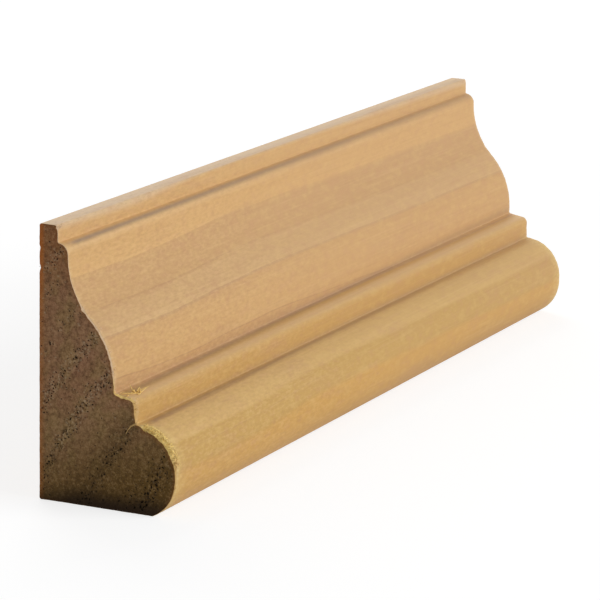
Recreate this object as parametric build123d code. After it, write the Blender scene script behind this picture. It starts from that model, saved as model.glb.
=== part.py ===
from build123d import *

import os

# Base cap moulding: one short length of clear timber trim, milled to one section along its whole length.
#
# The moulding stands on its flat bottom, as on the top edge of a baseboard, with its flat back to the wall.
# Frame: X runs along the length, the back faces +Y, the moulded face looks towards -Y and +Z is up.
# The origin is in the middle of the length and of the overall depth, on the bottom plane.
# All sizes are in millimetres. Depths are measured forward from the back, heights up from the bottom.

# Stock size: a 5 in length of 3/4 in by 1 3/8 in base cap. The ogee takes up what the other members leave.
LENGTH = 127.0
HEIGHT = 34.925
PROJECTION = 19.05

# Top fillet, the thin flat band along the top edge.
TOP_FILLET_THICKNESS = 2.6
TOP_FILLET_HEIGHT = 2.2

# Rounded shoulder that steps out under the top fillet.
SHOULDER_RADIUS = 1.4

# Quirk, the short upright drop that ends the ogee on the bead's ledge.
QUIRK_DEPTH = 1.0

# Bead: a ledge that falls a little towards its rounded front edge, and an upright face.
BEAD_STEP = 3.0
BEAD_FALL = 0.5
BEAD_RADIUS = 0.9
BEAD_HEIGHT = 3.55

# Nose: the big round at the foot, with a short upright face at its widest and its foot set back on the bottom.
NOSE_REACH = 5.6
NOSE_HEIGHT = 11.25
NOSE_FACE_BOTTOM = 5.0
NOSE_FACE_HEIGHT = 0.9
NOSE_SETBACK = 3.2

# Edges: the planed outer arrises are eased, and the cutter leaves a small round in each inner corner.
ARRIS_RADIUS = 0.3
CORNER_RADIUS = 0.2

UPWARD = (0, 1)
DOWNWARD = (0, -1)
FORWARD = (-1, 0)


def at(depth, height):
    """A point of the section, as (Y, Z), from its depth in front of the back and its height."""
    return (PROJECTION / 2 - depth, height)


def round_corners(section, corners, radius):
    """Rounds the section's corners that lie at the given points."""
    for point in corners:
        corner = section.vertices().sort_by_distance(point)[0]
        fillet(corner, radius)


def moulded_section():
    """The section as a face in the YZ plane, drawn from the back over the top and down the moulded face."""
    fillet_foot = HEIGHT - TOP_FILLET_HEIGHT
    ogee_back = TOP_FILLET_THICKNESS + SHOULDER_RADIUS
    ogee_top = fillet_foot - SHOULDER_RADIUS
    bead_depth = PROJECTION - NOSE_REACH
    ledge_height = NOSE_HEIGHT + BEAD_HEIGHT
    ogee_front = bead_depth - BEAD_STEP
    ogee_foot = ledge_height + QUIRK_DEPTH

    back_foot = at(0, 0)
    back_top = at(0, HEIGHT)
    front_top = at(TOP_FILLET_THICKNESS, HEIGHT)
    under_fillet = at(TOP_FILLET_THICKNESS, fillet_foot)
    ogee_start = at(ogee_back, ogee_top)
    ogee_turn = at((ogee_back + ogee_front) / 2, (ogee_top + ogee_foot) / 2)
    ogee_end = at(ogee_front, ogee_foot)
    ledge_back = at(ogee_front, ledge_height)
    bead_edge = at(bead_depth, ledge_height - BEAD_FALL)
    under_bead = at(bead_depth, NOSE_HEIGHT)
    nose_face_top = at(PROJECTION, NOSE_FACE_BOTTOM + NOSE_FACE_HEIGHT)
    nose_face_foot = at(PROJECTION, NOSE_FACE_BOTTOM)
    bottom_front = at(PROJECTION - NOSE_SETBACK, 0)

    with BuildSketch(Plane.YZ) as section:
        with BuildLine():
            Polyline(back_foot, back_top, front_top, under_fillet)
            TangentArc(under_fillet, ogee_start, tangent=FORWARD)
            # The ogee's hollow and its round are alike, upright at their outer ends, and meet half way.
            TangentArc(ogee_start, ogee_turn, tangent=DOWNWARD)
            TangentArc(ogee_end, ogee_turn, tangent=UPWARD)
            Polyline(ogee_end, ledge_back, bead_edge, under_bead)
            TangentArc(nose_face_top, under_bead, tangent=UPWARD)
            Line(nose_face_top, nose_face_foot)
            TangentArc(nose_face_foot, bottom_front, tangent=DOWNWARD)
            Line(bottom_front, back_foot)
        make_face()
        round_corners(section, [back_foot, back_top, front_top, bottom_front], ARRIS_RADIUS)
        round_corners(section, [under_fillet, ledge_back, under_bead], CORNER_RADIUS)
        round_corners(section, [bead_edge], BEAD_RADIUS)
    return section.sketch


def base_cap_moulding():
    """The whole length, centred on the origin along X and sawn square at both ends."""
    return extrude(moulded_section(), amount=LENGTH / 2, both=True, dir=(1, 0, 0))


os.makedirs("parts", exist_ok=True)
moulding = base_cap_moulding()
moulding.label = "base_cap_moulding"
export_step(moulding, "parts/base_cap_moulding.step")
print("solids", len(moulding.solids()), "volume mm3", round(moulding.volume, 1))
print("size mm", moulding.bounding_box().size, "centre of gravity", moulding.center())
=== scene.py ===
# %% [markdown]
# # A short length of base cap moulding
# The real object is one stick of clear, light timber. A moulder planed it to one section from end to end,
# and a saw cut it off square. The frame already holds that section at its true size, so this lesson adds
# what the tree, the planer and the saw leave behind: growth rings that run through the whole stick, rows
# of torn pores on the sawn ends, a crumbled edge round each end, and a fringe of loose fibres on one of
# them.

# %% Load the frame
import math
from typing import NamedTuple

import bmesh
import bpy
import numpy as np
from mathutils import Matrix, Vector, kdtree, noise
from mathutils.geometry import delaunay_2d_cdt


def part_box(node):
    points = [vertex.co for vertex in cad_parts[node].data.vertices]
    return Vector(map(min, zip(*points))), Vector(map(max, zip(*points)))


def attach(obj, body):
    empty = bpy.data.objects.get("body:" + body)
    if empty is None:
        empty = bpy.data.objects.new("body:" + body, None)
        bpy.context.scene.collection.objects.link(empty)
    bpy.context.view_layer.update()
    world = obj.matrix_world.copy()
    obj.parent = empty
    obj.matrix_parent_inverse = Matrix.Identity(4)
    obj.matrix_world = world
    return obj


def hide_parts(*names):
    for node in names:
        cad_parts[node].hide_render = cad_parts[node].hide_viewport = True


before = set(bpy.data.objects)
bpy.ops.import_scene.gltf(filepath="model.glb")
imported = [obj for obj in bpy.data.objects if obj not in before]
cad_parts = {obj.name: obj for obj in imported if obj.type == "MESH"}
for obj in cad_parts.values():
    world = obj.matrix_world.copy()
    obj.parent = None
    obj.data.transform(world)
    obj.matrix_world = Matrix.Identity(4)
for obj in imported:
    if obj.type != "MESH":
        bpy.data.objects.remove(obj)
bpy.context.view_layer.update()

NODE = "base_cap_moulding"
MM = 0.001
low, high = (np.array(corner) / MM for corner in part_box(NODE))
LEFT, BACK = low[0], high[1]
LENGTH = high[0] - low[0]
print("moulding in mm:", (high - low).round(3))

# %% [markdown]
# ## The section
# Every face of the moulding follows one outline. It could be drawn again from sizes, but then it might
# differ from the frame, so it is read off the frame's own end. The frame's mesh has flat facets on its
# rounds. A smooth curve through the facets' corners brings the rounds back, and corners beside a long
# straight run keep that run's direction, so flats stay flat.

# %% Read the section's outline
TOUCHING = 1e-6


def end_outline(node):
    """Corners of the node's left end as (Y, Z) in mm, up the back, over the top and down the moulded face."""
    shape = bmesh.new()
    shape.from_mesh(node.data)
    bmesh.ops.remove_doubles(shape, verts=shape.verts, dist=TOUCHING)
    end = min(vertex.co.x for vertex in shape.verts)
    beside = {}
    for edge in shape.edges:
        on_end = all(vertex.co.x < end + TOUCHING for vertex in edge.verts)
        on_long_face = any(abs(face.normal.x) < 0.5 for face in edge.link_faces)
        if on_end and on_long_face:
            first, second = edge.verts
            beside.setdefault(first, []).append(second)
            beside.setdefault(second, []).append(first)
    corner = max(beside, key=lambda vertex: vertex.co.y - vertex.co.z)
    walk = [corner, max(beside[corner], key=lambda vertex: vertex.co.z)]
    while len(walk) < len(beside):
        ahead = [vertex for vertex in beside[walk[-1]] if vertex is not walk[-2]]
        walk.append(ahead[0])
    points = np.array([vertex.co.yz for vertex in walk]) / MM
    shape.free()
    return points


corners = end_outline(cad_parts[NODE])
print("outline:", len(corners), "corners in the frame")

# %% Smooth the outline
LONG_RUN = 3


def smooth_outline(corners, spacing):
    """Points about that far apart, in mm, on a smooth closed curve through the corners."""
    runs = np.roll(corners, -1, axis=0) - corners
    lengths = np.linalg.norm(runs, axis=1)
    ways = runs / lengths[:, None]
    before, after = np.roll(lengths, 1), lengths
    headings = np.roll(ways, 1, axis=0) * after[:, None] + ways * before[:, None]
    long_before, long_after = before > LONG_RUN * after, after > LONG_RUN * before
    headings[long_before] = np.roll(ways, 1, axis=0)[long_before]
    headings[long_after] = ways[long_after]
    headings /= np.linalg.norm(headings, axis=1)[:, None]
    points = []
    for i, start in enumerate(corners):
        j = (i + 1) % len(corners)
        for share in np.arange(0, 1, 1 / max(1, round(lengths[i] / spacing))):
            moved, rest = share * share * (3 - 2 * share), 1 - share
            pull = share * rest * lengths[i] * (rest * headings[i] - share * headings[j])
            points.append(start + moved * runs[i] + pull)
    return np.array(points)


def outward(points):
    """Unit normals that point out of a closed outline."""
    ahead = np.roll(points, -1, axis=0) - np.roll(points, 1, axis=0)
    ahead /= np.linalg.norm(ahead, axis=1)[:, None]
    return np.column_stack((ahead[:, 1], -ahead[:, 0]))


def averaged(directions, neighbours):
    """Unit directions round a closed outline, each averaged with that many neighbours on both sides."""
    total = sum(np.roll(directions, shift, axis=0) for shift in range(-neighbours, neighbours + 1))
    return total / np.linalg.norm(total, axis=1)[:, None]


def outline_at(depth, height):
    """Index of the outline point nearest to a depth in front of the back and a height, in mm."""
    return int(np.argmin(np.hypot(BACK - outline[:, 0] - depth, outline[:, 1] - height)))


outline = np.clip(smooth_outline(corners, spacing=0.15), low[1:], high[1:])
normals = outward(outline)
wear_ways = averaged(normals, neighbours=6)
print("outline:", len(outline), "points on the curve")

# %% [markdown]
# ## Lines along the corners
# Painted shade makes thin dark lines along the inner corners of the moulding, and painted light makes
# the wood a little paler beside them and on the outer edges. Such lines could be painted by height, but
# they follow the outline, so each is placed by how far it lies past a corner along the outline. Each is
# listed with its corner, as a depth and a height, and then its distance past the corner, its width and its
# strength: first at the left end, then at the right end, because the lines change along the length.

# %% Place the lines along the corners
# The dark lines are painted shade in the inner corners, strongest just past each corner on the side that
# faces up.
DARK_LINES = (
    ((2.6, 32.7), (0.85, 0.32, 0.68), (0.6, 0.7, 0.26)),
    ((10.45, 14.8), (1.0, 0.5, 0.4), (-0.5, 0.6, 0.2)),
    ((13.45, 11.25), (0.85, 0.45, 0.42), (0.1, 0.6, 0.12)),
    ((13.45, 11.25), (-0.1, 0.4, 0.16), (-0.2, 0.4, 0.12)),
)
# The pale lines are painted light: on the top's back edge, beside two of the dark lines, and at the front of
# the bead's ledge.
PALE_LINES = (
    ((0.0, 34.9), (0.5, 0.7, 0.1), (0.5, 0.8, 0.5)),
    ((2.6, 32.7), (1.5, 0.35, 0.2), (1.5, 0.35, 0.0)),
    ((13.45, 11.25), (0.4, 0.5, 0.0), (0.4, 0.6, 0.2)),
    ((13.45, 14.3), (-0.8, 0.7, 0.4), (-0.9, 0.8, 0.45)),
)

steps = np.linalg.norm(np.roll(outline, -1, axis=0) - outline, axis=1)
walked = np.cumsum(steps) - steps


def corner_lines(x, lines):
    """Strength of the listed lines at each outline point of the section at x."""
    along = (x - LEFT) / LENGTH
    total = np.zeros(len(outline))
    for corner, left, right in lines:
        past, width, strength = (1 - along) * np.array(left) + along * np.array(right)
        gaps = walked - walked[outline_at(*corner)] - past
        total += strength * np.exp(-(gaps / width) ** 2)
    return total


print("corner lines:", len(DARK_LINES), "dark and", len(PALE_LINES), "pale")
print("outline's length in mm:", round(steps.sum(), 1))

# %% [markdown]
# ## The tree
# Growth rings are nested cylinders round the pith, the tree's middle, which lay in front of this stick
# and below it. A picture of rings would show on one face only, so the rings are listed as what they are:
# each has a radius in mm, how dark its line shows on the planed face, how thickly torn pores follow it on
# a sawn end, and the tone of its wood. They wander a little along the length, and those in the middle
# lean. The same numbers place the pits in the mesh and the lines in the material, so a line on the face
# meets its row of pores at the arris.

# %% Describe the growth rings
PITH = np.array((-49.0, -26.0))
AMBER, TAN, STRAW = (207, 161, 88), (198, 159, 91), (211, 173, 109)
OCHRE, MAUVE, HONEY = (201, 158, 91), (195, 154, 108), (207, 164, 109)
ROSE, DRAB, GOLD, PALE = (207, 168, 118), (201, 160, 110), (213, 170, 113), (216, 184, 144)


class Ring(NamedTuple):
    """A growth ring: radius in mm, strength of its line, crowding of its pores, and tone."""
    radius: float
    line: float
    pores: float
    tone: tuple


RINGS = (
    Ring(45.6, 0.4, 0.4, AMBER),
    Ring(51.0, 0.0, 1.7, TAN),
    Ring(52.5, 0.4, 0.4, TAN),
    Ring(54.0, 0.0, 0.0, STRAW),
    Ring(57.7, 0.5, 0.8, OCHRE),
    Ring(62.9, 0.0, 0.0, MAUVE),
    Ring(64.2, 1.0, 1.0, HONEY),
    Ring(68.8, 0.9, 0.75, ROSE),
    Ring(72.5, 0.5, 0.25, DRAB),
    Ring(76.8, 0.6, 0.15, GOLD),
    Ring(79.3, 0.1, 0.4, GOLD),
    Ring(82.6, 0.0, 0.1, PALE),
)
# Shares of the length, each with the rings' shift there in mm.
WANDER = ((0.0, 0.0), (0.16, 0.2), (0.33, -0.45), (0.6, -0.2), (0.8, 0.0), (1.0, 0.2))
# The shift in mm at the right end of the rings that lean, and the radii where the leaning starts and stops.
LEAN, LEAN_STARTS, LEAN_STOPS = 1.9, (62.0, 63.0), (68.0, 64.0)


def ring_radius(points, shift):
    """Distance of (Y, Z) points from the pith, in mm, with the rings' shift added."""
    return np.hypot(*(points - PITH).T) + shift


radii = ring_radius(outline, shift=0)
print("rings across the section:", radii.min().round(1), "to", radii.max().round(1))

# %% [markdown]
# ## The sawn ends
# A saw tears the soft start of each ring and leaves rows of small pits and pale crumbs. They could be
# painted, but real pits hold their own shade from every side; the material still adds painted shade in
# them, and a pale wash, partly painted highlight, on their torn lips and on the crumbs. Random spots are
# kept or dropped by how close they lie to a ring's start, and each kept spot becomes a small crater, or a
# small bump, of two rings of points round a middle. Delaunay triangulation then joins the spots, a loose
# grid of points and the outline into one cap.

# %% Describe the two ends
# The left end's largest pores: depth in front of the back, height and radius, in mm.
LARGE_PORES = ((1.5, 20.0, 0.2), (6.7, 20.4, 0.16), (2.5, 30.7, 0.14), (11.4, 7.9, 0.2), (10.5, 7.2, 0.17),
               (12.1, 8.7, 0.15), (8.8, 4.2, 0.15), (6.0, 1.6, 0.16), (14.2, 1.0, 0.18), (14.9, 1.7, 0.15),
               (15.2, 2.8, 0.19), (15.7, 3.7, 0.17), (16.5, 5.4, 0.19), (17.2, 6.4, 0.16), (12.9, 2.2, 0.15),
               (11.2, 1.3, 0.15), (9.0, 1.1, 0.14), (15.9, 1.9, 0.14), (13.4, 0.8, 0.15), (16.2, 4.6, 0.17))


class SawnEnd(NamedTuple):
    """An end: its side on X, how worn it is, the rings' shift, large pores, spacing of points, and seed."""
    side: int
    worn: float
    shift: float
    large: tuple
    spacing: float
    seed: int


LEFT_END = SawnEnd(-1, 1.0, WANDER[0][1], LARGE_PORES, 0.19, 3)
RIGHT_END = SawnEnd(1, 0.35, WANDER[-1][1], (), 0.24, 5)
print("ends: left with", len(LEFT_END.large), "large pores, right worn", RIGHT_END.worn, "times as much")

# %% Scatter the pores
ROW_SHIFT, ROW_WIDTH = 0.8, 0.7
SCATTER, CRUMB_SHARE = 0.012, 0.35
PORE_TRIES = 16000
CLUSTERS_PER_MM, KEPT_SHARE, CLUSTER_SWING = 0.7, 0.55, 0.8
PORE_RADII, ROW_GROWTH = (0.06, 0.11), 0.11
EDGE_GAP, PORE_GAP = 0.15, 0.06
PIT_DEPTHS, CRUMB_HEIGHT = (0.8, 1.8), 0.25


def inside(points, loop):
    """True for each point that lies inside a closed loop."""
    found = np.zeros(len(points), bool)
    for start, end in zip(loop, np.roll(loop, -1, axis=0)):
        crosses = (start[1] > points[:, 1]) != (end[1] > points[:, 1])
        if start[1] != end[1]:
            share = (points[:, 1] - start[1]) / (end[1] - start[1])
            found ^= crosses & (points[:, 0] < start[0] + share * (end[0] - start[0]))
    return found


def distance_tree(points):
    """A search tree over (Y, Z) points."""
    tree = kdtree.KDTree(len(points))
    for i, (y, z) in enumerate(points):
        tree.insert((y, z, 0), i)
    tree.balance()
    return tree


def crowding(points, shift):
    """How thickly pores stand at (Y, Z) points: about 1 in the row that follows a strong ring."""
    radii = ring_radius(points, shift)
    crowd = np.full(len(points), SCATTER)
    for ring in RINGS:
        crowd += ring.pores * np.exp(-((radii - ring.radius - ROW_SHIFT) / ROW_WIDTH) ** 2)
    return crowd


def spaced_out(spots, sizes, loop):
    """Indexes of the spots that stay clear of the loop and of the spots chosen before them."""
    edge = distance_tree(loop)
    chosen = []
    for i, spot in enumerate(spots):
        clear = edge.find((*spot, 0))[2] > sizes[i] + EDGE_GAP
        apart = all(np.hypot(*(spot - spots[j])) > sizes[i] + sizes[j] + PORE_GAP for j in chosen)
        if clear and apart:
            chosen.append(i)
    return chosen


def pore_spots(loop, end):
    """Centres, radii and depths in mm of an end's spots, the large pores first. Crumbs stand proud."""
    rng = np.random.default_rng(end.seed)
    tries = rng.uniform(loop.min(axis=0), loop.max(axis=0), (PORE_TRIES, 2))
    tries = tries[inside(tries, loop)]
    crowd = crowding(tries, end.shift)
    clusters = np.array([noise.noise((*(spot * CLUSTERS_PER_MM), end.seed)) for spot in tries])
    kept = rng.random(len(tries)) < crowd * (KEPT_SHARE + CLUSTER_SWING * clusters)
    tries, crowd = tries[kept], crowd[kept]
    sizes = rng.uniform(*PORE_RADII, len(tries)) + ROW_GROWTH * crowd * rng.random(len(tries)) ** 2
    tries = np.array([(BACK - depth, height) for depth, height, _ in end.large] + tries.tolist())
    sizes = np.array([size for _, _, size in end.large] + sizes.tolist())
    chosen = spaced_out(tries, sizes, loop)
    depths = sizes[chosen] * rng.uniform(*PIT_DEPTHS, len(chosen))
    crumbs = rng.random(len(chosen)) < CRUMB_SHARE
    crumbs[:len(end.large)] = False
    return tries[chosen], sizes[chosen], np.where(crumbs, -CRUMB_HEIGHT * sizes[chosen], depths)


crowd = crowding(outline, LEFT_END.shift)
print("crowding of pores along the outline:", crowd.min().round(3), "to", crowd.max().round(2))

# %% Triangulate a cap with its pores
GRID_JITTER, GRID_EDGE_GAP = 0.35, 0.7
GRID_PORE_SHARE, GRID_PORE_GAP = 1.2, 0.03
# Rings of a crater, from its lip to its middle: points, share of its radius and share of its depth.
CRATER = ((10, 1.0, 0.0), (8, 0.72, 0.75), (1, 0.0, 1.0))
STRETCH, UNEVEN = 0.3, (0.88, 1.12)
# Marks on a crater's lip: the torn side gets a pale wash, partly painted highlight, and the cut side a little
# painted shade.
TORN_LIP, CUT_LIP, TORN_COSINE = -0.6, 0.2, 0.3


def loose_grid(loop, pores, spacing, rng):
    """Jittered grid points inside the loop, clear of its edge and of the pores."""
    spots, sizes, _ = pores
    across, up = (np.arange(a, b, spacing) for a, b in zip(loop.min(axis=0), loop.max(axis=0)))
    grid = np.array(np.meshgrid(across, up)).reshape(2, -1).T
    grid = grid + rng.uniform(-GRID_JITTER, GRID_JITTER, grid.shape) * spacing
    edge, pits = distance_tree(loop), distance_tree(spots)
    clear = [edge.find((y, z, 0))[2] > GRID_EDGE_GAP * spacing for y, z in grid]
    for i, (y, z) in enumerate(grid):
        _, nearest, gap = pits.find((y, z, 0))
        clear[i] = clear[i] and gap > GRID_PORE_SHARE * sizes[nearest] + GRID_PORE_GAP
    return grid[np.array(clear) & inside(grid, loop)]


def cap_points(loop, pores, end):
    """Points of a sawn cap, the loop first, with each point's pit depth in mm and its mark for pores."""
    rng = np.random.default_rng(end.seed)
    grid = loose_grid(loop, pores, end.spacing, rng)
    plain = np.zeros(len(loop) + len(grid))
    points, sunk, shade = [loop, grid], [plain], [plain]
    for spot, size, depth in zip(*pores):
        torn_side = rng.uniform(0, 2 * math.pi)
        for sides, share, drop in CRATER:
            turn = rng.uniform(0, 2 * math.pi) + np.arange(sides) * 2 * math.pi / sides
            stretch = 1 + STRETCH * np.cos(2 * turn - torn_side)
            wobble = size * share * stretch * rng.uniform(*UNEVEN, sides)
            points.append(spot + np.column_stack((np.cos(turn), np.sin(turn))) * wobble[:, None])
            sunk.append(np.full(sides, drop * depth))
            # Positive marks get painted shade, in the pits and on a lip's cut side; negative marks get a pale
            # wash, partly painted highlight, on a lip's torn side and on crumbs.
            lip = np.where(np.cos(turn - torn_side) > TORN_COSINE, TORN_LIP, CUT_LIP)
            shade.append(lip if drop == 0 else np.full(sides, drop * np.sign(depth)))
    return np.concatenate(points), np.concatenate(sunk), np.concatenate(shade)


def triangulate(points, rim):
    """Triangles over the points, inside the closed rim that the first points make, turned to face +X."""
    edges = [(i, (i + 1) % rim) for i in range(rim)]
    flat = [Vector(point) for point in points]
    _, _, faces, sources, _, _ = delaunay_2d_cdt(flat, edges, [], 1, TOUCHING)
    return [tuple(sources[corner][0] for corner in face) for face in faces]


print("points to a crater:", sum(sides for sides, _, _ in CRATER))

# %% [markdown]
# ## The stick
# The long faces are the outline, repeated at stations along the length. Round each end the saw has
# crumbled the arris. A bevel would take it off evenly, but a saw's wear is uneven: here the outline steps
# in by a little on the ogee, more on the bead and most on the nose, where the blade came out, with a few
# larger chips. The torn surface lies just inside the frame's end plane, so that nothing that stands proud
# of it leaves the frame's box.

# %% Wear the end's arris
RECESS, RELIEF = 0.16, 0.04
LEAST_WEAR, PLAIN_WEAR, PLAIN_UNEVEN = 0.02, 0.035, 0.02
FRONT_WEAR, FRONT_STARTS = 0.03, (0.5, 2.0)
PLAIN_PITCH, CRUMB_PITCH, COARSE_PITCH, FINE_PITCH = 0.5, 0.45, 1.7, 0.42
SEED_STEP = 7.3
# Zones with more wear: the nose's foot, its round, the bead and the ogee. For each, in mm, the depths and the
# heights where it fades in, the heights where it fades out, its width and its unevenness.
WORN_ZONES = (
    ((13.8, 14.8), (2.0, 4.0), (36.0, 35.0), 0.087, 0.03),
    ((13.8, 14.8), (5.0, 9.0), (36.0, 35.0), 0.493, 0.17),
    ((10.3, 11.2), (11.6, 12.8), (15.6, 14.9), 0.28, 0.15),
    ((4.3, 6.0), (15.6, 17.0), (26.5, 24.0), 0.13, 0.12),
)
# Chips: depth in front of the back, height and extra width, in mm.
CHIPS = ((2.6, 34.7, 0.35), (6.1, 24.8, 0.25), (0.0, 29.4, 0.25), (0.0, 31.8, 0.18))
CHIP_REACH = 0.3


def ease(values, start, end):
    """A smooth step from 0 at start to 1 at end."""
    share = np.clip((values - start) / (end - start), 0, 1)
    return share * share * (3 - 2 * share)


def rough(points, pitch, seed):
    """Smooth noise, from about -1 to 1, over (Y, Z) points, with features about one pitch across."""
    return np.array([noise.noise((y / pitch, z / pitch, seed * SEED_STEP)) for y, z in points])


def arris_wear(points, end):
    """Width in mm that is crumbled off the end's arris at each outline point."""
    depth, height = BACK - points[:, 0], points[:, 1]
    crumbs = rough(points, CRUMB_PITCH, end.seed + 1)
    wear = PLAIN_WEAR + PLAIN_UNEVEN * rough(points, PLAIN_PITCH, end.seed)
    wear += FRONT_WEAR * ease(depth, *FRONT_STARTS)
    for depths, starts, stops, width, uneven in WORN_ZONES:
        zone = ease(depth, *depths) * ease(height, *starts) * ease(height, *stops)
        wear += end.worn * zone * (width + uneven * crumbs)
    for chip_depth, chip_height, size in CHIPS:
        gap = np.hypot(depth - chip_depth, height - chip_height)
        wear += end.worn * size * np.exp(-(gap / CHIP_REACH) ** 2)
    return np.maximum(wear, LEAST_WEAR)


def torn_relief(points, seed):
    """How far in mm the torn surface lies inside the end plane, apart from its pits."""
    coarse, fine = rough(points, COARSE_PITCH, seed), rough(points, FINE_PITCH, seed + 2)
    return RECESS + RELIEF * coarse + RELIEF * fine


left_wear = arris_wear(outline, LEFT_END)
print("wear of the left end in mm:", left_wear.min().round(2), "to", left_wear.max().round(2))

# %% Make the ends of the stick
# Steps of the worn band, in shares of its width: how far from the end, and how far inside the outline.
BAND = ((0.0, 1.0), (0.1, 0.82), (0.9, 0.18), (2.2, 0.0))
RIM_REACH = 0.3


def end_rings(end):
    """Rings of points from the sawn end inwards: (X, Y, Z) in mm for each point of the outline."""
    wear = arris_wear(outline, end)
    inwards = torn_relief(outline - wear_ways * wear[:, None], end.seed)
    rings = []
    for along, inset in BAND:
        x = end.side * (LENGTH / 2 - inwards - along * wear)
        rings.append(np.column_stack((x, outline - wear_ways * (inset * wear)[:, None])))
    return rings


def sawn_cap(ring, end):
    """A cap inside a ring: its own points, their marks for pores, rim and rows, and its triangles."""
    loop = ring[:, 1:]
    pores = pore_spots(loop, end)
    points, sunk, shade = cap_points(loop, pores, end)
    x = end.side * (LENGTH / 2 - torn_relief(points, end.seed) - sunk)
    triangles = triangulate(points, len(loop))
    print("sawn end:", len(pores[0]), "pores,", len(triangles), "triangles")
    edge, own = distance_tree(loop), points[len(loop):]
    rim = np.array([math.exp(-(edge.find((y, z, 0))[2] / RIM_REACH) ** 2) for y, z in own])
    marks = {"pore": shade[len(loop):], "rim": rim, "row": crowding(own, end.shift)}
    return np.column_stack((x, points))[len(loop):], marks, triangles


left_rings, right_rings = end_rings(LEFT_END), end_rings(RIGHT_END)
left_cap, right_cap = sawn_cap(left_rings[0], LEFT_END), sawn_cap(right_rings[0], RIGHT_END)

# %% Build the stick
PLANED, TORN, SAWN = 0, 1, 2
STATIONS = np.array((2.0, 3.2, 5.0, 8.0, 12.0, 17.0, 23.0, 30.0, 38.0, 46.0, 54.0))
# The second pair is where the painted corner shade fades in from the left end, in mm.
RIM_FADES, CORNER_SHADE_STARTS = (3.4, 0.3), (0.8, 3.4)


def ring_marks(rings):
    """Values that the materials read at the rings' points: a list of arrays for each name."""
    from_end = LENGTH / 2 - abs(np.concatenate(rings)[:, 0])
    bare = np.zeros(len(from_end))
    marks = {"pore": [bare], "row": [bare], "rim": [ease(from_end, *RIM_FADES)], "pale": [], "dark": []}
    for x in (ring[0, 0] for ring in rings):
        # Painted light on the pale lines, and painted shade on the dark lines, which fade in from the left
        # end.
        marks["pale"].append(corner_lines(x, PALE_LINES))
        marks["dark"].append(ease(x - LEFT, *CORNER_SHADE_STARTS) * corner_lines(x, DARK_LINES))
    return marks


def long_faces(count, rows):
    """Faces between neighbouring rings of count points, and the finish of each."""
    faces, finishes = [], []
    for row in range(rows - 1):
        finish = {0: SAWN, 1: TORN}.get(min(row, rows - 2 - row), PLANED)
        for i in range(count):
            j = (i + 1) % count
            faces.append((row * count + i, row * count + j, (row + 1) * count + j, (row + 1) * count + i))
            finishes.append(finish)
    return faces, finishes


def build_stick():
    """Points in mm, faces, finishes and marks of the whole moulding, closed by its two caps."""
    middle = [*(STATIONS - LENGTH / 2), *(LENGTH / 2 - STATIONS[::-1])]
    plain = [np.column_stack((np.full(len(outline), x), outline)) for x in middle]
    rings = left_rings + plain + right_rings[::-1]
    points, marks, count = [*rings], ring_marks(rings), len(outline)
    faces, finishes = long_faces(count, len(rings))
    used = count * len(rings)
    for cap, row, turn in ((left_cap, 0, -1), (right_cap, len(rings) - 1, 1)):
        own, own_marks, triangles = cap
        places = np.concatenate((row * count + np.arange(count), used + np.arange(len(own))))
        faces += [tuple(int(places[corner]) for corner in triangle[::turn]) for triangle in triangles]
        finishes += [SAWN] * len(triangles)
        points.append(own)
        for name, values in marks.items():
            values.append(own_marks.get(name, np.zeros(len(own))))
        used += len(own)
    return np.concatenate(points), faces, finishes, marks


def add_piece(name, points, faces, smooth):
    """A mesh object in the scene, from points in mm."""
    mesh = bpy.data.meshes.new(name)
    mesh.from_pydata((np.array(points) * MM).tolist(), [], faces)
    mesh.polygons.foreach_set("use_smooth", smooth)
    mesh.update()
    piece = bpy.data.objects.new(name, mesh)
    bpy.context.scene.collection.objects.link(piece)
    return piece


points, faces, finishes, marks = build_stick()
stick = add_piece("moulded_stick", points, faces, [finish == PLANED for finish in finishes])
stick.data.polygons.foreach_set("material_index", finishes)
for name, values in marks.items():
    stick.data.attributes.new(name, "FLOAT", "POINT").data.foreach_set("value", np.concatenate(values))
stick.data.calc_loop_triangles()
print("stick:", len(stick.data.vertices), "points,", len(stick.data.loop_triangles), "triangles")

# %% [markdown]
# ## Loose fibres
# Where the blade leaves the wood it pulls out fibres instead of cutting them. A hair system could make
# them, but a few hundred tapered threads are quickly placed by a loop and export as plain mesh. Most are
# short fuzz on the worn arris, and run with the grain. A longer tuft stands on the bead's ledge, and one
# sliver of wood has lifted along a ring below the bead.

# %% Make a thread
TIP_TAPER = 0.75


def thread(points, radius, sides=4):
    """A thread through the points that tapers to its tip: vertices and faces."""
    points = np.array(points)
    ways = np.gradient(points, axis=0)
    verts, faces = [], [tuple(range(sides))[::-1]]
    for i, (point, way) in enumerate(zip(points[:-1], ways)):
        turn = Vector(way).to_track_quat("Z", "Y")
        width = radius * (1 - TIP_TAPER * i / (len(points) - 1))
        for k in range(sides):
            angle = 2 * math.pi * k / sides
            verts.append(Vector(point) + turn @ Vector((math.cos(angle), math.sin(angle), 0)) * width)
    for i in range(len(points) - 2):
        for k in range(sides):
            m = (k + 1) % sides
            faces.append((i * sides + k, i * sides + m, (i + 1) * sides + m, (i + 1) * sides + k))
    last = (len(points) - 2) * sides
    faces += [(last + k, last + (k + 1) % sides, len(verts)) for k in range(sides)]
    verts.append(Vector(points[-1]))
    return verts, faces


def bent(start, way, curl, steps=6):
    """Points of a thread that leaves start along way and bends by curl over its length, all in mm."""
    shares = np.linspace(0, 1, steps)[:, None]
    return np.array(start) + shares * np.array(way) + shares ** 2 * np.array(curl)


def kept_in_box(points, margin):
    """The points, held inside the frame's box by that margin in mm."""
    return np.clip(points, low + margin, high - margin)


print("faces to a thread of 6 points:", len(thread(bent((0, 0, 0), (1, 0, 0), (0, 0, 0)), 0.1)[1]))

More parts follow.
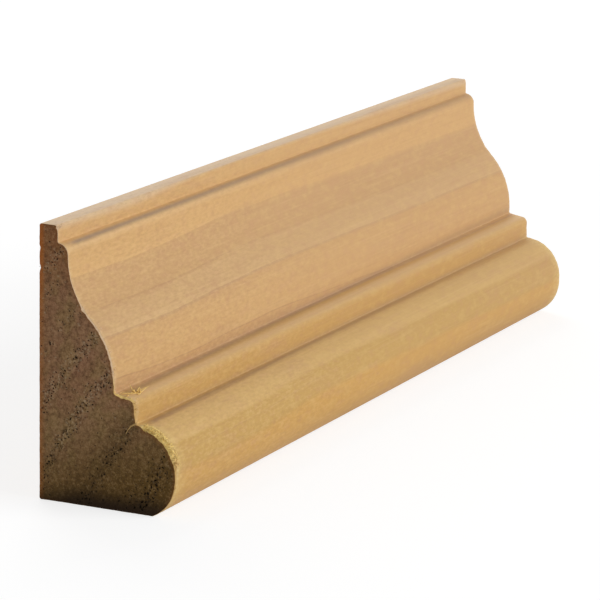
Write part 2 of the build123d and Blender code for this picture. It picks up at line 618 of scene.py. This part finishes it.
# %% Place the fibres
# Sizes in mm. The fuzz's run, lift, sway and curl are shares of each fibre's length.
FUZZ_WEAR, LEAST_ODDS = 0.12, 0.003
BEAD_FOOT, ODDS_ABOVE = 11.4, 0.3
FUZZ_AWAY, FUZZ_LENGTHS, FUZZ_RADII = (0.2, 1.2), (0.3, 0.9), (0.03, 0.06)
FUZZ_RUN, FUZZ_LIFT, FUZZ_SWAY, FUZZ_CURL = (0.4, 1.0), (-0.05, 0.15), 0.3, 0.15
TUFT_SPOT, TUFT_FROM_END = (12.2, 14.5), 2.7
TUFT_SPREAD, TUFT_LENGTHS, TUFT_RADII = 1.3, (0.7, 1.4), (0.08, 0.12)
TUFT_ALONG, TUFT_ACROSS, TUFT_SWAY, TUFT_CURL, TUFT_DROOP = 0.2, 0.3, 0.5, 0.3, 0.4
SLIVER_PATH = ((13.7, 11.4), (13.3, 11.3), (12.8, 11.0), (12.4, 10.5), (12.15, 10.0), (12.0, 9.6))
SLIVER_RADIUS = 0.22
BOX_GAP = 0.01


def fuzz(seed, count):
    """Short fibres that lie on the worn arris of the left end, most of them below the bead."""
    rng = np.random.default_rng(seed)
    odds = np.maximum(left_wear - FUZZ_WEAR, LEAST_ODDS)
    odds = odds * np.where(outline[:, 1] > BEAD_FOOT, ODDS_ABOVE, 1.0)
    threads = []
    for i in rng.choice(len(outline), count, p=odds / odds.sum()):
        away, out = rng.uniform(*FUZZ_AWAY), np.array((0, *normals[i]))
        sunk = left_wear[i] * np.interp(away / left_wear[i], *zip(*BAND))
        start = np.array((LEFT + RECESS + away, *(outline[i] - wear_ways[i] * sunk)))
        length = rng.uniform(*FUZZ_LENGTHS)
        across = np.array((0, -normals[i][1], normals[i][0])) * rng.normal(0, FUZZ_SWAY)
        way = out * rng.uniform(*FUZZ_LIFT) + across + np.array((-rng.uniform(*FUZZ_RUN), 0, 0))
        curl = rng.normal(0, FUZZ_CURL, 3)
        threads.append((bent(start, length * way, length * curl), rng.uniform(*FUZZ_RADII)))
    return threads


def tuft(seed, count):
    """Longer fibres that stand like a fan on one spot of the bead's ledge, beside the left end."""
    rng = np.random.default_rng(seed)
    spot = outline_at(*TUFT_SPOT)
    foot = np.array((LEFT + TUFT_FROM_END, *outline[spot]))
    along, out = np.array((1, 0, 0)), np.array((0, *normals[spot]))
    across = np.cross(along, out)
    threads = []
    for k in range(count):
        turn = math.pi * (k + rng.uniform(0.2, 0.8)) / count
        start = foot + along * rng.normal(0, TUFT_ALONG) + across * rng.normal(0, TUFT_ACROSS)
        way = along * math.cos(turn) * TUFT_SPREAD + out * math.sin(turn)
        way = way + across * rng.normal(0, TUFT_SWAY)
        curl = along * rng.normal(0, TUFT_CURL) - out * rng.uniform(0.0, TUFT_DROOP)
        threads.append((bent(start, way * rng.uniform(*TUFT_LENGTHS), curl), rng.uniform(*TUFT_RADII)))
    return threads


def sliver():
    """The sliver that has lifted along a growth ring, from the corner below the bead into the sawn end."""
    return [([(LEFT, BACK - depth, height) for depth, height in SLIVER_PATH], SLIVER_RADIUS)]


threads = fuzz(seed=21, count=420) + tuft(seed=8, count=12) + sliver()
verts, faces = [], []
for points, radius in threads:
    new_verts, new_faces = thread(kept_in_box(points, radius + BOX_GAP), radius)
    faces += [tuple(corner + len(verts) for corner in face) for face in new_faces]
    verts += new_verts
fringe = add_piece("saw_fringe", verts, faces, [True] * len(faces))
print("fringe:", len(threads), "fibres,", len(faces), "faces")

# %% [markdown]
# ## Writing materials as sums
# A material is a web of nodes, and a web is hard to read as code. One small class wraps an output socket,
# so that a plus or a times between two of them adds the Math node that does it. Every other kind of node
# comes from one method, which sets the node up and then fills its sockets.

# %% A class for shader sums
def fill_ramp(band, interpolation, stops):
    """Sets a colour ramp's interpolation and its (position, colour) stops."""
    band.interpolation = interpolation
    band.elements.remove(band.elements[1])
    band.elements[0].position, band.elements[0].color = stops[0]
    for position, colour in stops[1:]:
        band.elements.new(position).color = colour


def paint(red, green, blue):
    """A colour as it reads on screen, from 0 to 255, as the linear values that shaders use."""
    shares = [level / 255 for level in (red, green, blue)]
    return (*(s / 12.92 if s <= 0.04045 else ((s + 0.055) / 1.055) ** 2.4 for s in shares), 1.0)


class Wire:
    """An output socket in a node tree. Arithmetic on wires adds Math nodes."""

    def __init__(self, tree, socket=None):
        self.tree = tree
        self.socket = socket

    def node(self, kind, settings=None, sockets=None, output=0):
        """Adds a node: its settings first, then the values or wires of its sockets. Returns one output."""
        made = self.tree.nodes.new("ShaderNode" + kind)
        for name, value in (settings or {}).items():
            if name == "ramp":
                fill_ramp(made.color_ramp, *value)
            else:
                setattr(made, name, value)
        for name, value in (sockets or {}).items():
            if isinstance(value, Wire):
                self.tree.links.new(value.socket, made.inputs[name])
            else:
                made.inputs[name].default_value = value
        return Wire(self.tree, made.outputs[output] if made.outputs else None)

    def math(self, operation, *values):
        """A Math node on numbers or wires."""
        return self.node("Math", {"operation": operation}, dict(enumerate(values)))

    def __add__(self, other):
        return self.math("ADD", self, other)

    def __radd__(self, other):
        return self.math("ADD", other, self)

    def __sub__(self, other):
        return self.math("SUBTRACT", self, other)

    def __rsub__(self, other):
        return self.math("SUBTRACT", other, self)

    def __mul__(self, other):
        return self.math("MULTIPLY", self, other)

    def __rmul__(self, other):
        return self.math("MULTIPLY", other, self)

    def __truediv__(self, other):
        return self.math("DIVIDE", self, other)

    def __rtruediv__(self, other):
        return self.math("DIVIDE", other, self)

    def step(self, start, end):
        """A smooth step from 0 at start to 1 at end."""
        settings = {"interpolation_type": "SMOOTHSTEP"}
        return self.node("MapRange", settings, {"Value": self, "From Min": start, "From Max": end})

    def ramp(self, stops, interpolation="LINEAR"):
        """A colour that follows this value from 0 to 1, through (position, colour) stops."""
        return self.node("ValToRGB", {"ramp": (interpolation, stops)}, {"Fac": self})

    def washed(self, *washes):
        """This colour under thin washes, in turn: each is a tone as it reads on screen and how much shows."""
        colour = self
        for tone, share in washes:
            colour = self.node("Mix", {"data_type": "RGBA"}, {0: share, 6: colour, 7: paint(*tone)}, 2)
        return colour

    def grain(self, stretch, detail=2.0, roughness=0.5):
        """Noise over this place in mm, with as many features to a mm along X, Y and Z as stretch says."""
        place = self.node("VectorMath", {"operation": "MULTIPLY"}, {0: self, 1: stretch})
        sockets = {"Vector": place, "Scale": 1.0, "Detail": detail, "Roughness": roughness}
        return self.node("TexNoise", None, sockets)


print("middle grey on screen is", round(paint(128, 128, 128)[0], 3), "in a shader")

# %% [markdown]
# ## Growth rings in the material
# The face shows the rings as faint lines and bands. A picture of wood grain would slide over the arris,
# so the colour is worked out from where each point lies in the tree instead: its distance from the pith,
# counted in rings. A count rises by one from ring to ring, and its fraction tells how far through the
# year the wood grew.

# %% Count the rings at a point
INNER, OUTER = 44.0, 86.0
TONE_BLEND = 0.5
MOST_RINGS = 16
LINE_LOSS, LINE_FADES = 0.4, (0.25, 0.6)
WAVE_SHIFT, WAVE_STRETCH = 0.3, (0.08, 0.3, 0.3)


def grey(level):
    """A grey of that level, as a colour."""
    return (level, level, level, 1.0)


def across_rings(radius):
    """Where a radius in mm lies on a ramp across the rings, from 0 to 1."""
    return (radius - INNER) / (OUTER - INNER)


def at_starts(levels):
    """Ramp stops across the rings: a grey of its own level at each ring's start."""
    return [(across_rings(ring.radius), grey(level)) for ring, level in zip(RINGS, levels)]


def held_tones():
    """Ramp stops that hold each ring's tone until shortly before the next ring starts."""
    ends = [ring.radius - TONE_BLEND for ring in RINGS[1:]] + [OUTER]
    stops = []
    for ring, end in zip(RINGS, ends):
        stops += [(across_rings(radius), paint(*ring.tone)) for radius in (ring.radius, end)]
    return stops


def axes(start, place):
    """Wires for the X, Y and Z of a place."""
    return [start.node("SeparateXYZ", None, {"Vector": place}, axis) for axis in "XYZ"]


def ring_field(start):
    """Wires for place and radius in mm, share of the year, strength of the ring's line, and its tone."""
    metres = start.node("TexCoord", None, None, "Object")
    place = start.node("VectorMath", {"operation": "SCALE"}, {0: metres, "Scale": 1 / MM})
    across = start.node("VectorMath", {"operation": "MULTIPLY"}, {0: place, 1: (0, 1, 1)})
    distance = start.node("VectorMath", {"operation": "DISTANCE"}, {0: across, 1: (0, *PITH)}, "Value")
    along = (axes(start, place)[0] - LEFT) / LENGTH
    wander = along.ramp([(at, grey(0.5 + shift / 2)) for at, shift in WANDER], "CARDINAL") * 2 - 1
    leaning = distance.step(*LEAN_STARTS) * distance.step(*LEAN_STOPS) * along * LEAN
    waves = place.grain(WAVE_STRETCH, 1.0) - 0.5
    radius = distance + wander + leaning + waves * WAVE_SHIFT
    share = across_rings(radius)
    count = share.ramp(at_starts([i / MOST_RINGS for i in range(len(RINGS))])) * MOST_RINGS
    year = count.math("FRACT", count)
    line = share.ramp(at_starts([ring.line for ring in RINGS]))
    line = line.math("MAXIMUM", line - along.step(*LINE_FADES) * LINE_LOSS, 0)
    return place, radius, year, line, share.ramp(held_tones())


def marks_on(start, *names):
    """Wires for values that the mesh carries at its points."""
    return [start.node("Attribute", {"attribute_name": name}, None, "Fac") for name in names]


def new_material(name):
    """An empty material and a wire to start from."""
    material = bpy.data.materials.new(name)
    material.use_nodes = True
    material.node_tree.nodes.clear()
    return material, Wire(material.node_tree)


def finish_surface(start, colour, roughness, bump, specular):
    """Ends a material in one Principled shader."""
    sockets = {"Base Color": colour, "Roughness": roughness, "Normal": bump, "Specular IOR Level": specular}
    shader = start.node("BsdfPrincipled", None, sockets)
    start.node("OutputMaterial", None, {"Surface": shader})


print("ring tones:", len(held_tones()), "stops over", len(RINGS), "rings")

# %% [markdown]
# ## Planed faces
# Clear timber fresh from the moulder is matt, tan and a little pink towards the outside of the tree. Each
# year starts pale and ends in a thin darker line. One noise could stand for all of its grain, but real
# grain has several sizes, so thin washes lie one over the other: long fibres, short dashes, clouds,
# mottles and flecks. Last come the lines along the corners, of painted light and painted shade, and the
# dry, paler rim beside a sawn end.

# %% The planed timber
EARLY_WOOD, LATE_WOOD, RING_LINE = (216, 180, 130), (186, 142, 104), (166, 124, 92)
FAR_WOOD, CLOUD, DASH = (178, 140, 116), (192, 150, 108), (160, 120, 82)
DARK_FIBRE, PALE_FIBRE = (180, 138, 92), (226, 188, 138)
PINK_MOTTLE, STRAW_MOTTLE = (196, 146, 112), (222, 188, 124)
DARK_FLECK, PALE_FLECK = (174, 130, 88), (234, 198, 148)
# The first tone is painted light on the edges, the second painted shade in the inner corners.
LIT_EDGE, CORNER_SHADE = (240, 208, 164), (116, 104, 100)
DRY_RIM, STRAW_RIM = (232, 204, 158), (228, 202, 134)


def planed_timber():
    """Planed timber: ring tones under washes of grain, with the corner lines of painted shade and light, and
    the rim.
    """
    material, start = new_material("planed_timber")
    place, _, year, line, tone = ring_field(start)
    pale, dark, rim = marks_on(start, "pale", "dark", "rim")
    x, _, z = axes(start, place)
    along = (x - LEFT) / LENGTH
    fibres = place.grain((0.05, 4.0, 4.0), 3.0, 0.6)
    dashes = place.grain((0.35, 11.0, 11.0), 1.0).step(0.62, 0.78)
    clouds = place.grain((0.06, 0.3, 0.3), 2.0)
    mottles = place.grain((0.5, 1.1, 1.1), 2.0)
    flecks = place.grain((1.1, 2.8, 2.8), 2.0, 0.6)
    raised = 1 - along.step(0.15, 0.6) * 0.75
    below_bead = z.step(11.8, 11.0)
    colour = tone.washed(
        (EARLY_WOOD, (1 - year).step(0.8, 1.0) * line * 0.2),
        (LATE_WOOD, year.step(0.6, 1.0) * line * 0.2),
        (RING_LINE, year.step(0.9, 0.96) * line * 0.3),
        (FAR_WOOD, along.step(0.1, 0.9) * 0.12),
        (CLOUD, clouds.step(0.5, 0.75) * 0.3),
        (DARK_FIBRE, fibres.step(0.5, 0.8) * 0.2),
        (PALE_FIBRE, fibres.step(0.48, 0.25) * 0.15),
        (DASH, dashes * 0.1),
        (PINK_MOTTLE, mottles.step(0.5, 0.7) * 0.2),
        (STRAW_MOTTLE, mottles.step(0.5, 0.3) * 0.16),
        (DARK_FLECK, flecks.step(0.5, 0.68) * raised * 0.2),
        (PALE_FLECK, flecks.step(0.5, 0.34) * raised * 0.16),
        # Painted light along the edges and at the front of the bead's ledge.
        (LIT_EDGE, pale),
        # Painted shade in the inner corners.
        (CORNER_SHADE, dark),
        (DRY_RIM, rim.step(0.75, 1.0) * fibres.step(0.3, 0.7) * 0.4),
        (STRAW_RIM, rim * below_bead * (0.2 + flecks.step(0.6, 0.4) * 0.3)),
    )
    height = fibres + dashes * -0.4
    bump = start.node("Bump", None, {"Height": height, "Strength": 0.35, "Distance": 0.03 * MM})
    finish_surface(start, colour, 0.5 + fibres * 0.16, bump, 0.25)
    return material


planed = planed_timber()
print("planed timber:", len(planed.node_tree.nodes), "nodes")

# %% [markdown]
# ## Torn fibre
# Fresh torn fibre is the palest wood on the piece, and dull. It lines the crumbled arris and colours the
# loose fibres. One pale tone would do from afar, but close by it is straw yellow on the bead's ledge and
# on the nose's upper round, where the blade tore deepest, and pinker up the ogee, so each zone has its
# own wash. On the nose and the ogee that wash is also painted light: it is paler than the fibre, because
# the torn band there faces partly away from the lamps.

# %% The torn fibre
FIBRE, DARK_STRAND = (222, 184, 122), (206, 164, 88)
# The nose's and the ogee's tones are paler than the fibre, as painted light where the torn band faces partly
# away from the lamps.
NOSE_FIBRE, LEDGE_FIBRE, OGEE_FIBRE = (253, 228, 148), (255, 222, 140), (228, 200, 170)


def torn_fibre():
    """Torn fibre: pale, with a wash of its own for the nose, the ledge and the ogee."""
    material, start = new_material("torn_fibre")
    place, _, _, _, tone = ring_field(start)
    _, y, z = axes(start, place)
    strands = place.grain((2.0, 6.0, 6.0), 3.0, 0.6)
    nose = y.step(BACK - 13.8, BACK - 14.6) * z.step(6.0, 9.0)
    ledge = z.step(13.8, 14.5) * z.step(17.0, 15.8)
    ogee = z.step(15.0, 18.0)
    colour = tone.washed(
        (FIBRE, 0.7),
        # The nose's and the ogee's washes are partly painted light.
        (NOSE_FIBRE, nose * 0.85),
        (LEDGE_FIBRE, ledge * 0.9),
        (DARK_STRAND, strands.step(0.45, 0.65) * 0.3),
        (OGEE_FIBRE, ogee * 0.7),
    )
    bump = start.node("Bump", None, {"Height": strands, "Strength": 0.7, "Distance": 0.05 * MM})
    finish_surface(start, colour, 0.7 + strands * 0.2, bump, 0.2)
    return material


torn = torn_fibre()
print("torn fibre:", len(torn.node_tree.nodes), "nodes")

# %% [markdown]
# ## Sawn end grain
# End grain drinks the light: each cell is a small open tube, so the sawn end is much darker than the
# face. It is redder at the end of each year and towards the top, olive towards the nose, and orange along
# the back arris. Painted shade darkens it towards the lower front, and a painted contact shadow makes it
# nearly black at the foot. A single brown would look like plastic, so these zones are washes too, and the
# marks that the mesh carries paint shade into its pores and pale the lips and crumbs beside them, partly
# as a painted highlight.

# %% The sawn end grain
END_GRAIN, OLIVE_CLOUD, RED_YEAR = (170, 125, 91), (162, 134, 82), (160, 110, 86)
FOX, RUST, ORANGE = (151, 90, 45), (150, 92, 42), (206, 116, 44)
# The second of these tones is painted shade towards the lower front of the end.
OLIVE, UMBER, DULL = (138, 124, 72), (110, 82, 31), (84, 62, 22)
DARK_CELL, PALE_CELL, SPECK = (80, 57, 34), (212, 174, 128), (214, 178, 132)
# The last of these is pale torn fibre on lips and crumbs, partly a painted highlight.
DARK_CRUMB, PALE_CRUMB, LIP = (52, 38, 21), (206, 176, 140), (206, 184, 150)
# The first is a painted contact shadow at the foot of the end, the second painted shade in the pits.
FOOT_SHADOW, PIT = (38, 24, 11), (34, 23, 11)


def sawn_end_grain():
    """Sawn end grain: dark washes by zone, some of them painted shade, then cells, crumbs and the painted
    shade in the pores.
    """
    material, start = new_material("sawn_end_grain")
    place, radius, year, line, tone = ring_field(start)
    pore, rim, row = marks_on(start, "pore", "rim", "row")
    _, y, z = axes(start, place)
    cells = place.grain((1.6, 2.0, 2.0), 4.0, 0.75)
    specks = place.grain((5.0, 5.5, 5.5), 2.0)
    crumbs = place.grain((2.0, 2.8, 2.8), 2.0, 0.6)
    clouds = place.grain((0.3, 0.45, 0.45), 2.0)
    top, low_half = z.step(25.0, 33.0), z.step(15.0, 9.0)
    back, arris = y.step(BACK - 2.2, BACK - 0.4), y.step(BACK - 0.9, BACK - 0.25)
    front = y.step(BACK - 3.5, BACK - 11.5)
    # Painted shade: the end darkens towards its lower front, and the pale crumbs and lips are kept out of
    # that shade.
    low_front = (z * -1.8 - y * 0.7).step(-24, -2)
    outside_shade = 1 - low_front.step(0.0, 0.4)
    # Painted contact shadow along the foot of the end.
    foot = (z + y.step(BACK - 6.0, BACK) * 1.2).step(3.4, 0.3)
    dull = radius.step(57.0, 58.4) * radius.step(61.2, 59.6)
    colour = tone.washed(
        (END_GRAIN, 0.92),
        (OLIVE_CLOUD, clouds.step(0.42, 0.62) * 0.45),
        (RED_YEAR, year.step(0.5, 1.0) * line * 0.4),
        (FOX, top * 0.6),
        (RUST, back * 0.2),
        (OLIVE, low_half * 0.25),
        # Painted shade towards the lower front.
        (UMBER, low_front * 0.95),
        (DULL, dull * (0.1 + front * 0.3)),
        (DARK_CELL, cells.step(0.4, 0.75) * 0.75),
        (PALE_CELL, cells.step(0.52, 0.25) * 0.35),
        (SPECK, specks.step(0.54, 0.7) * 0.22),
        (DARK_CRUMB, crumbs.step(0.5, 0.65) * row * 0.6),
        (PALE_CRUMB, crumbs.step(0.46, 0.34) * row * outside_shade * 0.6),
        (RUST, rim * 0.35),
        (ORANGE, arris * (0.22 + z.step(20.0, 30.0) * 0.4)),
        # Pale torn lips and crumbs, partly a painted highlight.
        (LIP, pore.step(0.0, -1.0) * (0.1 + outside_shade * 0.4)),
        # Painted contact shadow at the foot.
        (FOOT_SHADOW, foot * 0.95),
        # Painted shade in the pits.
        (PIT, pore.step(0.0, 0.8) * 0.85),
    )
    height = cells + specks * 0.5
    bump = start.node("Bump", None, {"Height": height, "Strength": 0.8, "Distance": 0.06 * MM})
    finish_surface(start, colour, 0.75 + cells * 0.2, bump, 0.2)
    return material


sawn = sawn_end_grain()
print("sawn end grain:", len(sawn.node_tree.nodes), "nodes")

# %% [markdown]
# ## Fixing the pieces to the frame
# The stick stands for the frame's one node, and the fringe is part of it, so both ride on the only body.
# The stick's faces already say which finish they have, and its materials go on in that order.

# %% Ride on the frame
finish_materials = {PLANED: planed, TORN: torn, SAWN: sawn}
for finish in sorted(finish_materials):
    stick.data.materials.append(finish_materials[finish])
fringe.data.materials.append(torn)

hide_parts(NODE)
for piece in (stick, fringe):
    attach(piece, "root")
print("pieces:", [piece.name for piece in (stick, fringe)])

# %% [markdown]
# ## The studio
# The photograph has flat, soft light from the front and the right, so the left end lies in shade, and a
# white ground. One lamp would leave the back too dark, so there are two large lamps, a metre away, and an
# even sky. The floor and the sky are white where the camera sees them and greyer where they only light
# the wood, so that the shaded end stays dark and the floor keeps its shadow.

# %% Light the studio
SKY = 0.28
# Lamps: name, degrees round from the front towards the right, degrees up, and watts.
LAMPS = (("key_lamp", 8, 27, 6.75), ("back_lamp", 130, 35, 3.2))
LAMP_SIZE = 0.7


def seen_by_eye(start):
    """1 for rays from the camera, mirrors and glass, 0 for rays that carry light to a surface."""
    eye, mirror, glass = (start.node("LightPath", None, None, "Is " + ray + " Ray")
                          for ray in ("Camera", "Glossy", "Transmission"))
    return eye.math("MAXIMUM", eye.math("MAXIMUM", eye, mirror), glass)


world = bpy.context.scene.world or bpy.data.worlds.new("studio")
bpy.context.scene.world = world
world.use_nodes = True
world.node_tree.nodes.clear()
sky = Wire(world.node_tree)
glow = SKY + seen_by_eye(sky) * (1 - SKY)
background = sky.node("Background", None, {"Color": (1, 1, 1, 1), "Strength": glow})
sky.node("OutputWorld", None, {"Surface": background})

for name, turn, rise, watts in LAMPS:
    turn, rise = math.radians(turn), math.radians(rise)
    way = Vector((math.sin(turn) * math.cos(rise), -math.cos(turn) * math.cos(rise), math.sin(rise)))
    light = bpy.data.lights.new(name, "AREA")
    light.shape = "DISK"
    light.size = LAMP_SIZE
    light.energy = watts
    lamp = bpy.data.objects.new(name, light)
    lamp.location = way
    lamp.rotation_mode = "QUATERNION"
    lamp.rotation_quaternion = way.to_track_quat("Z", "Y")
    bpy.context.scene.collection.objects.link(lamp)
print("studio: lamps", [(name, watts) for name, _, _, watts in LAMPS])

# %% Lay the floor
FLOOR_REACH = 4.0
FLOOR_SEEN, FLOOR_LIGHT, FLOOR_GLOW = 0.36, 0.75, 0.75

floor_mesh = bpy.data.meshes.new("floor")
floor_corners = [(x * FLOOR_REACH, y * FLOOR_REACH, 0) for x, y in ((-1, -1), (1, -1), (1, 1), (-1, 1))]
floor_mesh.from_pydata(floor_corners, [], [(0, 1, 2, 3)])
floor = bpy.data.objects.new("floor", floor_mesh)
bpy.context.scene.collection.objects.link(floor)
floor_paint, start = new_material("floor_paint")
seen = seen_by_eye(start)
level = FLOOR_LIGHT + seen * (FLOOR_SEEN - FLOOR_LIGHT)
matt = start.node("BsdfDiffuse", None, {"Color": level})
shine = start.node("Emission", None, {"Strength": seen * FLOOR_GLOW})
both = start.node("AddShader", None, {0: matt, 1: shine})
start.node("OutputMaterial", None, {"Surface": both})
floor_mesh.materials.append(floor_paint)
print("floor:", 2 * FLOOR_REACH, "m square")

# %% [markdown]
# ## The camera
# The camera looks along the moulding from beyond its left end, a little above it, through a long lens. It
# could be set by eye, but its place, aim and lens follow more surely from the photograph's two end
# outlines and the known section.

# %% Place the camera
EYE = Vector((-0.42045, -0.19591, 0.12111))
AIM = Vector((0.879456, 0.418977, -0.225866))
UPRIGHT = Vector((0.196384, 0.112857, 0.974010))
LENS = 206.9

camera = bpy.data.cameras.new("camera")
camera.lens = LENS
camera.clip_start = 0.01
view = bpy.data.objects.new("camera", camera)
side = AIM.cross(UPRIGHT).normalized()
turn = Matrix((side, side.cross(AIM), -AIM)).transposed()
view.matrix_world = Matrix.Translation(EYE) @ turn.to_4x4()
bpy.context.scene.collection.objects.link(view)
bpy.context.scene.camera = view
bpy.context.scene.view_settings.view_transform = "Standard"
print("camera:", [round(value, 4) for value in EYE], "lens", LENS, "mm")
